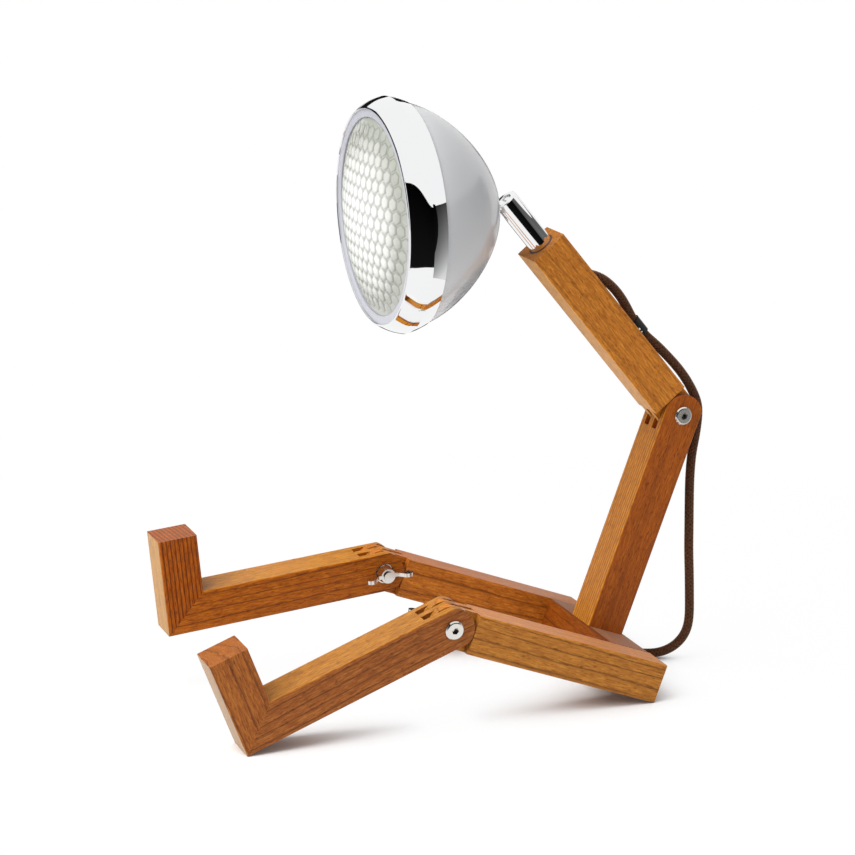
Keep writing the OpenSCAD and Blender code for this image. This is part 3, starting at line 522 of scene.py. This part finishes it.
chrome = metal("chrome", (0.88, 0.885, 0.89), 0.02)
nickel = metal("nickel_plate", (0.78, 0.75, 0.70), 0.16, 0.06)
steel = metal("spring_steel", (0.5, 0.5, 0.52), 0.3, 0.1)
blacked = metal("blacked_steel", (0.10, 0.095, 0.09), 0.2, 0.08)
brass = metal("turned_brass", (0.72, 0.52, 0.24), 0.22, 0.08)
bowl_paint = paint("grey_paint", (0.50, 0.505, 0.515), 0.3, 0.45, coat_ior=1.6)
ring_paint = paint("satin_grey", (0.36, 0.36, 0.40), 0.32, 0.1)
METAL_NODES = [(name, nickel) for name in nodes
               if any(word in name for word in ("_bolt", "_washer", "wingnut", "screw"))]
METAL_NODES += [
    ("head_stem", chrome), ("head_washer", chrome), ("neck_tube", chrome), ("head_nut", steel),
    ("reflector_clips", steel), ("plug_pins", steel), ("cord_clip", blacked),
    ("neck_sleeve", brass), ("neck_nut", brass),
]
for name, finish in METAL_NODES:
    wear(name, finish)
print("metal nodes:", len(METAL_NODES))

# %% [markdown]
# ## Plastics, textile and what is inside
#
# The moulded switch and plug are satin brown with a fine grain. The cord's cover is plaited: two sets of
# threads cross each other round the cord. Hundreds of modelled threads would be heavy and too small to
# see, and on the UV map they are only two waves of opposite slope.

# %% Moulded plastics and small inner pieces
def plastic(name, colour, roughness, grain=900.0, depth=0.12):
    t = new_finish(name)
    speck = t.noise(t.coords(), grain, 3.0)
    t.shade(Base_Color=t.mix(t.math("MULTIPLY", speck, 0.35), colour, [c * 1.7 for c in colour]),
            Roughness=roughness, Normal=t.bump(speck, depth, 0.0002))
    return t.owner


brown_plastic = plastic("brown_plastic", (0.045, 0.026, 0.018), 0.42)
# The bush is a real part; its dark reddish brown is painted shade for the shadow ring where the tube
# goes into the wood.
shadow_brown_bush = plastic("shadow_brown_bush", (0.075, 0.024, 0.010), 0.5)
black_plastic = plastic("black_plastic", (0.012, 0.012, 0.013), 0.4)
white_plastic = plastic("white_plastic", (0.75, 0.74, 0.7), 0.35)
glazed = plastic("glazed_ceramic", (0.8, 0.78, 0.72), 0.15, 300.0, 0.03)
dowel_wood = wood("wood_dowel", seat_frame, (1.6, 1.9, 2.6), 12.0)
SMALL_NODES = {
    "switch_base": brown_plastic, "switch_cover": brown_plastic, "plug_body": brown_plastic,
    "switch_rocker": black_plastic, "neck_bush": shadow_brown_bush, "neck_lead": black_plastic,
    "lens_gasket": black_plastic, "ball_seat": white_plastic, "head_leads": white_plastic,
    "lamp_holder": glazed, "seat_dowels": dowel_wood, "torso_dowels": dowel_wood,
    "foot_dowel_left": dowel_wood, "foot_dowel_right": dowel_wood,
    "reflector": metal("bright_reflector", (0.9, 0.9, 0.88), 0.1),
    "bulb": plastic("frosted_glass", (0.85, 0.84, 0.8), 0.3, 300.0, 0.02),
}
for name, finish in SMALL_NODES.items():
    wear(name, finish)
print("small nodes:", len(SMALL_NODES))

# %% Plaited textile on the cord
THREADS_ROUND = 12
PLAIT_PITCH = 5 * MM
WEAVE_CONTRAST = 0.12


def plaited(name, dark, light):
    t = new_finish(name)
    uv = t.node("SeparateXYZ", {"Vector": t.node("UVMap").outputs[0]}).outputs
    around = t.math("MULTIPLY", uv[0], math.pi * THREADS_ROUND)
    along = t.math("MULTIPLY", uv[1], 4 * math.pi / PLAIT_PITCH)
    weave = t.math("MAXIMUM", t.math("SINE", t.math("ADD", around, along)),
                   t.math("SINE", t.math("SUBTRACT", around, along)))
    fleck = t.noise(t.coords(), 900.0, 3.0, 0.7)
    tone = t.math("ADD", t.math("MULTIPLY", weave, WEAVE_CONTRAST), fleck)
    t.shade(Base_Color=t.ramp(tone, (0.3, dark), (0.95, light)), Roughness=0.85,
            Normal=t.bump(weave, 0.35, 0.0005), Specular_IOR_Level=0.2, Sheen_Weight=0.8,
            Sheen_Roughness=0.35, Sheen_Tint=(0.95, 0.62, 0.38, 1))
    return t.owner


wear(cord, plaited("brown_textile", (0.020, 0.008, 0.004), (0.15, 0.060, 0.026)))
print("threads round the cord:", THREADS_ROUND)

# %% [markdown]
# ## The head's turned pieces
#
# The bowl, the bezel, the grey ring and the glass are all round. A cylinder or a sphere that is pushed
# into shape would show its facets in the chrome, so each is a profile spun about the head's axis in many
# steps. The same few sizes place them all, measured along that axis from the ball.

# %% Sizes of the head
BOWL_R, BOWL_LEN, BOWL_WALL = 67.4, 56.4, 1.0
BOWL_P, BOWL_Q = 1.85, 1.4  # the superellipse's powers, across and along the axis
BOWL_TUCK = 5.0  # how far the bowl reaches under the bezel
POLE_R, POLE_Z = 7.5, 10.3
STEM_HOLE_R = 3.1
SEAM_R = 68.5
SEAM_Z = POLE_Z + BOWL_LEN * (1 - (POLE_R / BOWL_R) ** BOWL_P) ** (1 / BOWL_Q)
RIM_R, RIM_Z = 66.0, SEAM_Z + 22.7
CREASE_R, CREASE_Z = 71.5, RIM_Z - 13.2
RING_IN = 59.6
LENS_Z = RIM_Z - 2.2
SPIN_STEPS = 160
print("head:", round(RIM_Z - POLE_Z, 1), "mm deep,", 2 * CREASE_R, "mm wide")

# %% The painted bowl
BOWL_STEPS = 60


def spun(name, profile, sharp_angle=30):
    """A closed profile of (radius, height) points in millimetres, spun about the head's axis."""
    bm = bmesh.new()
    loop = [bm.verts.new((r * MM, 0, z * MM)) for r, z in profile]
    edges = [bm.edges.new((a, b)) for a, b in zip(loop, loop[1:] + loop[:1])]
    bmesh.ops.spin(bm, geom=loop + edges, cent=(0, 0, 0), axis=(0, 0, 1), angle=2 * math.pi,
                   steps=SPIN_STEPS, use_merge=True, use_duplicate=False)
    bmesh.ops.remove_doubles(bm, verts=bm.verts, dist=1e-6)
    bmesh.ops.dissolve_degenerate(bm, edges=bm.edges, dist=1e-7)
    return finished(name, bm, head_frame, sharp_angle)


def bowl_curve(inset):
    """The bowl's superellipse, from the seam to the edge of its flat pole."""
    found = []
    for k in range(BOWL_STEPS):
        a = math.pi / 2 * k / BOWL_STEPS
        r = (BOWL_R - inset) * math.cos(a) ** (2 / BOWL_P)
        if r > POLE_R:
            found.append((r, SEAM_Z - (BOWL_LEN - inset) * math.sin(a) ** (2 / BOWL_Q)))
    return found


bowl = spun("bowl", [(BOWL_R, SEAM_Z + BOWL_TUCK)] + bowl_curve(0)
            + [(POLE_R, POLE_Z), (STEM_HOLE_R, POLE_Z), (STEM_HOLE_R, POLE_Z + BOWL_WALL),
               (POLE_R, POLE_Z + BOWL_WALL)]
            + bowl_curve(BOWL_WALL)[::-1] + [(BOWL_R - BOWL_WALL, SEAM_Z + BOWL_TUCK)])
wear(bowl, bowl_paint)

# %% [markdown]
# The bezel is a rolled band of chromed sheet: a lip that holds the grey ring, a rounded rim, a wide
# slightly bulged front band, a crease, and a flange back to the seam. Its mirror shows every change of
# slope, so the roll meets the band at the band's own angle.

# %% The chromed bezel
BAND_STEPS = 24
BAND_BULGE = 0.8
BEZEL_WALL = 1.0
FLANGE_BULGE = 0.3
ROLL_STEPS = 8
ROLL_R = 1.2
ROLL_END = math.atan2(CREASE_R - RIM_R + math.pi * BAND_BULGE, RIM_Z - CREASE_Z)
ROLL_TOP = ROLL_R * (1 - math.sin(ROLL_END))
LIP_R = RIM_R - 1.4
LIP_DEPTH = 1.0
LIP_CURVE = [(0, -LIP_DEPTH), (0, -0.4), (0.12, -0.12), (0.3, 0)]


def band(inset):
    """The wide front band, from the rim back to the crease."""
    found = []
    for k in range(BAND_STEPS + 1):
        t = k / BAND_STEPS
        bulge = BAND_BULGE * math.sin(math.pi * t)
        found.append((RIM_R + (CREASE_R - RIM_R) * t + bulge - inset,
                      RIM_Z - ROLL_TOP - (RIM_Z - CREASE_Z - ROLL_TOP) * t))
    return found


def roll():
    """The rounded rim, from its foremost line to the start of the band."""
    quarter = math.pi / 2
    turns = [quarter + (ROLL_END - quarter) * k / ROLL_STEPS for k in range(ROLL_STEPS)]
    return [(RIM_R + ROLL_R * (math.cos(a) - math.cos(ROLL_END)), RIM_Z - ROLL_R * (1 - math.sin(a)))
            for a in turns]


lip = [(LIP_R + out, RIM_Z + forward) for out, forward in LIP_CURVE]
flange_r, flange_z = (CREASE_R + SEAM_R) / 2 + FLANGE_BULGE, (CREASE_Z + SEAM_Z) / 2
bezel = spun("bezel_band", lip + roll() + band(0)
             + [(flange_r, flange_z), (SEAM_R, SEAM_Z), (SEAM_R - BEZEL_WALL, SEAM_Z),
                (flange_r - BEZEL_WALL, flange_z)]
             + band(BEZEL_WALL)[:0:-1] + [(RIM_R - BEZEL_WALL, RIM_Z - LIP_DEPTH)], sharp_angle=12)
wear(bezel, chrome)

# %% The grey ring
RING_FROM, RING_TO = RING_IN + 0.1, RIM_R - 1.1
RING_BACK, RING_FRONT = LENS_Z + 0.02, LENS_Z + 1.18
RING_CHAMFER = (0.4, 0.38)

lens_ring = spun("grey_ring", [(RING_FROM, RING_BACK), (RING_TO, RING_BACK), (RING_TO, RING_FRONT),
                               (RING_FROM + RING_CHAMFER[0], RING_FRONT),
                               (RING_FROM, RING_FRONT - RING_CHAMFER[1])])
wear(lens_ring, ring_paint)

# %% [markdown]
# ## The lens
#
# A pressed glass lens is smooth at its edge and a honeycomb of small pillows in the middle. A bump
# pattern would stay flat at a slant, where pillows hide each other, so they are modelled. One pillow is
# a six-sided disc whose face is inset and lifted in rings. Copies of it stand in staggered rows and are
# then moved up on the dome, lower towards the edge, where the pattern fades.

# %% The dome
LENS_RISE = 9.0
LENS_EDGE_R = 64.4
LENS_WALL = 3.0
DOME_R = (RING_IN ** 2 + LENS_RISE ** 2) / (2 * LENS_RISE)
DOME_STEPS = 20


def dome_height(r):
    return LENS_Z + LENS_RISE - DOME_R + math.sqrt(DOME_R ** 2 - r * r)


dome = [(r, dome_height(r)) for r in (RING_IN * k / DOME_STEPS for k in range(DOME_STEPS + 1))]
lens = spun("lens_glass", dome + [(LENS_EDGE_R, LENS_Z), (LENS_EDGE_R, LENS_Z - LENS_WALL)]
            + [(r, z - LENS_WALL) for r, z in reversed(dome)])

# %% One pillow
CELL_WIDTH = 8.6
CELL_LIFT = 1.5
# Each ring's inset in millimetres, its share of the lift, and how far it is out of the furrow.
PILLOW_RINGS = ((1.0, 0.45, 0.35), (0.85, 0.35, 0.75), (0.8, 0.20, 1.0))
FAINT_POINTS = 0.45  # the painted furrow shade fades at a pillow's upper and lower points


def pillow_mesh():
    """A six-sided pillow, whose "pillow" attribute goes from 0 in the furrow to 1 on top."""
    cell = bmesh.new()
    bmesh.ops.create_circle(cell, cap_ends=True, segments=6, radius=CELL_WIDTH / math.sqrt(3) * MM)
    pillow = cell.verts.layers.float.new("pillow")
    top = cell.faces[:][0]
    for thickness, lift, height in PILLOW_RINGS:
        bmesh.ops.inset_individual(cell, faces=[top], thickness=thickness * MM, depth=0)
        bmesh.ops.translate(cell, verts=top.verts, vec=(0, 0, lift * CELL_LIFT * MM))
        for vert in top.verts:
            vert[pillow] = height
    for vert in bmesh.ops.poke(cell, faces=[top])["verts"]:
        vert[pillow] = 1.0
    for vert in cell.verts:
        if abs(vert.co.x) < 0.1 * MM:
            vert[pillow] = max(vert[pillow], FAINT_POINTS)
    mesh = bpy.data.meshes.new("cell")
    cell.to_mesh(mesh)
    cell.free()
    return mesh


one_pillow = pillow_mesh()
print("one pillow:", len(one_pillow.polygons), "faces")

# %% The honeycomb
CELL_ROW = 7.4
CELL_FIELD = 56.5  # the radius within which pillows stand
FADE_FROM, FADE_BY = 46.0, CELL_FIELD + 4
COMB_SINK = 0.12  # how far the honeycomb's edges lie in the glass


def honeycomb(cell):
    field = bmesh.new()
    rows = int(CELL_FIELD / CELL_ROW) + 1
    columns = int(CELL_FIELD / CELL_WIDTH) + 1
    for row in range(-rows, rows + 1):
        for column in range(-columns, columns + 1):
            x = (column + 0.5 * (row % 2)) * CELL_WIDTH
            y = row * CELL_ROW
            if math.hypot(x, y) < CELL_FIELD:
                before = set(field.verts)
                field.from_mesh(cell)
                fresh = [v for v in field.verts if v not in before]
                bmesh.ops.translate(field, verts=fresh, vec=(x * MM, y * MM, 0))
    for vert in field.verts:
        r = min(vert.co.xy.length / MM, RING_IN)
        fade = min(1, max(0, (FADE_BY - r) / (FADE_BY - FADE_FROM)))
        vert.co.z = vert.co.z * fade + (dome_height(r) - COMB_SINK) * MM
    return finished("lens_honeycomb", field, head_frame, sharp_angle=60)


comb = honeycomb(one_pillow)
bpy.data.meshes.remove(one_pillow)

# %% [markdown]
# Real refraction through two shells would be slow and noisy, so an opaque glossy finish stands for the
# glass, and its light and shade are painted into its colour: painted bright in the middle, greenish and
# darker at the edge, painted grey shade in the furrows and painted highlights on the crests.

# %% Pressed glass
LENS_REACH = 0.060  # metres from the middle to the greenish edge
# Painted light: bright in the middle, greenish and darker towards the edge.
GLASS_MIDDLE, GLASS_BETWEEN, GLASS_EDGE = (0.66, 0.66, 0.655), (0.54, 0.55, 0.52), (0.31, 0.32, 0.285)
# Painted shade in the furrows, painted highlight on the crests.
FURROW_SHADE, SLOPE, CREST_HIGHLIGHT = (0.46, 0.46, 0.44), (0.68, 0.68, 0.66), (1, 1, 1)


def lens_finish(name, on_pillows):
    t = new_finish(name)
    at = t.node("SeparateXYZ", {"Vector": t.local(head_frame)}).outputs
    r = t.math("SQRT", t.math("ADD", t.math("POWER", at[0], 2.0), t.math("POWER", at[1], 2.0)))
    cloud = t.noise(t.coords(), 45.0, 3.0)
    reach = t.math("ADD", t.math("DIVIDE", r, LENS_REACH), t.math("MULTIPLY", cloud, 0.25))
    colour = t.ramp(reach, (0.30, GLASS_MIDDLE), (1.12, GLASS_EDGE), (0.75, GLASS_BETWEEN))
    if on_pillows:
        pillow = t.node("Attribute", attribute_name="pillow").outputs["Fac"]
        # The pillow attribute lays painted shade in the furrows and a painted highlight on the crests.
        furrow_shade = t.ramp(pillow, (0.05, FURROW_SHADE), (0.72, CREST_HIGHLIGHT), (0.36, SLOPE))
        colour = t.mix(1.0, colour, furrow_shade, "MULTIPLY")
    t.shade(Base_Color=colour, Roughness=0.09, Normal=t.bump(cloud, 0.05, 0.001),
            Specular_IOR_Level=0.7)
    return t.owner


wear(lens, lens_finish("lens_glass_edge", False))
wear(comb, lens_finish("lens_glass_pillows", True))
print("glass from", GLASS_MIDDLE, "to", GLASS_EDGE)

# %% What the head's pieces stand for
for piece, node, slot in ((bowl, "shell", "shell_grey"), (bezel, "bezel", "bezel_chrome"),
                          (lens_ring, "lens_ring", "ring_grey"), (lens, "lens", "lens_glass")):
    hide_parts(node)
    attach(piece, "head")
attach(comb, "head")
print("pieces on the head:", [piece.name for piece in (bowl, bezel, lens_ring, lens, comb)])

# %% [markdown]
# ## The stage
#
# A pale floor, a bright even room and three large soft lamps. A floor that is plain white everywhere
# would swallow the shadows, and a grey one would show its edge. So the floor turns white away from the
# lamp and where nothing stands close above it, and only the shadows near the feet and the seat remain.
# There its colour is also darkened to a warm grey where wood stands close above it: painted shadow.

# %% Floor
FLOOR_SIZE = 6.0
FLOOR_LIFT = 0.02
FLOOR_OPEN, PAINTED_FLOOR_SHADOW = (0.86,) * 3, (0.50, 0.42, 0.37)
NEAR_FLOOR = 0.042  # metres above the floor within which wood darkens it, with real shadow and with painted shadow in its colour
OPEN_FROM, OPEN_BY, OPEN_WHITE = 0.4, 0.97, 0.97
WHITE_FROM, WHITE_BY = 0.30, 0.60  # metres from the middle of the lamp
PURE_WHITE = (1, 1, 1, 1)

bm = bmesh.new()
bmesh.ops.create_grid(bm, x_segments=1, y_segments=1, size=FLOOR_SIZE / 2)
floor = finished("floor", bm)

t = new_finish("pale_floor")
open_sky = t.node("AmbientOcclusion", {"Distance": NEAR_FLOOR}, samples=8).outputs["AO"]
# Painted shadow: the base colour turns warm grey where wood stands close above the floor.
t.shade(Base_Color=t.ramp(open_sky, (0.1, PAINTED_FLOOR_SHADOW), (0.5, FLOOR_OPEN)), Roughness=0.95,
        Specular_IOR_Level=0.0)
direct = t.seen()
glow = t.node("Emission", {"Color": PURE_WHITE, "Strength": t.math("MULTIPLY", direct, FLOOR_LIFT)})
lifted = t.node("AddShader", {0: t.shader.outputs[0], 1: glow.outputs[0]})
away = t.node("VectorMath", {0: t.coords()}, operation="LENGTH").outputs["Value"]
cleared = t.math("MAXIMUM", t.smooth_step(away, WHITE_FROM, WHITE_BY),
                 t.smooth_step(open_sky, OPEN_FROM, OPEN_BY, OPEN_WHITE))
white = t.node("Emission", {"Color": PURE_WHITE, "Strength": 1.0})
whole = t.node("MixShader", {0: t.math("MULTIPLY", cleared, direct), 1: lifted.outputs[0],
                             2: white.outputs[0]})
output = next(n for n in t.tree.nodes if n.type == "OUTPUT_MATERIAL")
t.tree.links.new(whole.outputs[0], output.inputs["Surface"])
wear(floor, t.owner)

# %% Room and lamps
ROOM_LIGHT = 0.40
LAMPS = {  # where it stands, the height that it looks at, its side in metres, and its watts
    "lamp_above": ((0.15, -1.0, 1.4), 0.1, 1.4, 38),
    "lamp_front": ((0.4, -1.6, 0.6), 0.15, 1.0, 7),
    "lamp_side": ((1.5, 0.7, 0.8), 0.2, 0.9, 5),
}

world = bpy.data.worlds.new("room")
bpy.context.scene.world = world
room = Tree(world)
background = room.tree.nodes["Background"]
room.into(background.inputs["Color"], PURE_WHITE)
room.into(background.inputs["Strength"],
          room.math("MULTIPLY_ADD", room.seen(), 1 - ROOM_LIGHT, ROOM_LIGHT))

for name, (at, height, side, power) in LAMPS.items():
    light = bpy.data.lights.new(name, "AREA")
    light.shape = "RECTANGLE"
    light.size = light.size_y = side
    light.energy = power
    made = bpy.data.objects.new(name, light)
    made.location = at
    made.rotation_euler = (Vector((0, 0, height)) - Vector(at)).to_track_quat("-Z", "Y").to_euler()
    made.visible_glossy = False
    bpy.context.scene.collection.objects.link(made)
print("lamps:", sorted(LAMPS))

# %% [markdown]
# In an all-white room chrome would be white too, and nobody would see that it is metal. A studio sets up
# black and grey cards for that. Here they are patches of a sphere round the head, which only reflections
# see, so they take no light away from the lamp.

# %% Dark screens that only reflections see
HEAD_AT = Vector((0, -0.03, 0.303))
SCREEN_RADIUS = 0.45
LOW_GAIN, HIGH_GAIN = 1.8, 0.2  # how bright a screen is at its bottom and at its top
BLACK = (0.004, 0.004)
DARK = (0.02, 0.02)


def screen(name, azimuths, elevations, shades, fall=0.0, rise=0.0, bend=3.5):
    """A patch of a sphere round the head, in degrees, from one shade of grey to another.

    The shade changes along the azimuth, and is darker towards the top. fall lowers the top edge and
    rise lifts the bottom edge towards the second azimuth.
    """
    bm = bmesh.new()
    shade = bm.verts.layers.float.new("shade")
    bmesh.ops.create_grid(bm, x_segments=24, y_segments=16, size=0.5)
    for vert in bm.verts:
        along, up = vert.co.x + 0.5, vert.co.y + 0.5
        top = elevations[1] - fall * along ** bend
        bottom = elevations[0] + rise * along ** 3
        azimuth = math.radians(azimuths[0] + along * (azimuths[1] - azimuths[0]))
        elevation = math.radians(bottom + up * (top - bottom))
        gain = LOW_GAIN + (HIGH_GAIN - LOW_GAIN) * up
        vert[shade] = (shades[0] + along * (shades[1] - shades[0])) * gain
        vert.co = SCREEN_RADIUS * Vector((math.cos(azimuth) * math.cos(elevation),
                                          math.sin(azimuth) * math.cos(elevation),
                                          math.sin(elevation)))
    made = finished(name, bm, Matrix.Translation(HEAD_AT))
    for ray in ("camera", "diffuse", "transmission", "volume_scatter", "shadow"):
        setattr(made, "visible_" + ray, False)
    t = new_finish(name)
    grey = t.node("Attribute", attribute_name="shade").outputs["Fac"]
    t.shade(Base_Color=(0, 0, 0, 1), Roughness=1.0, Emission_Color=PURE_WHITE, Emission_Strength=grey,
            Specular_IOR_Level=0.0)
    wear(made, t.owner)


screen("screen_front", (-60, -5), (-38, 32), BLACK, fall=19)
screen("screen_middle", (-5, 45), (-38, 21), BLACK, fall=7, rise=14, bend=2)
screen("screen_side", (45, 66), (-41, 13), (0.12, 0.42))
screen("screen_rear", (66, 110), (-41, 13), (0.42, 0.6))
screen("screen_low", (110, 136), (-41, -20), DARK)
screen("screen_behind", (152, 205), (9, 24), (0.01, 0.01))
screen("screen_ahead", (197, 268), (-10, 42), DARK)
screen("screen_far", (138, 171), (-32, 6), DARK)
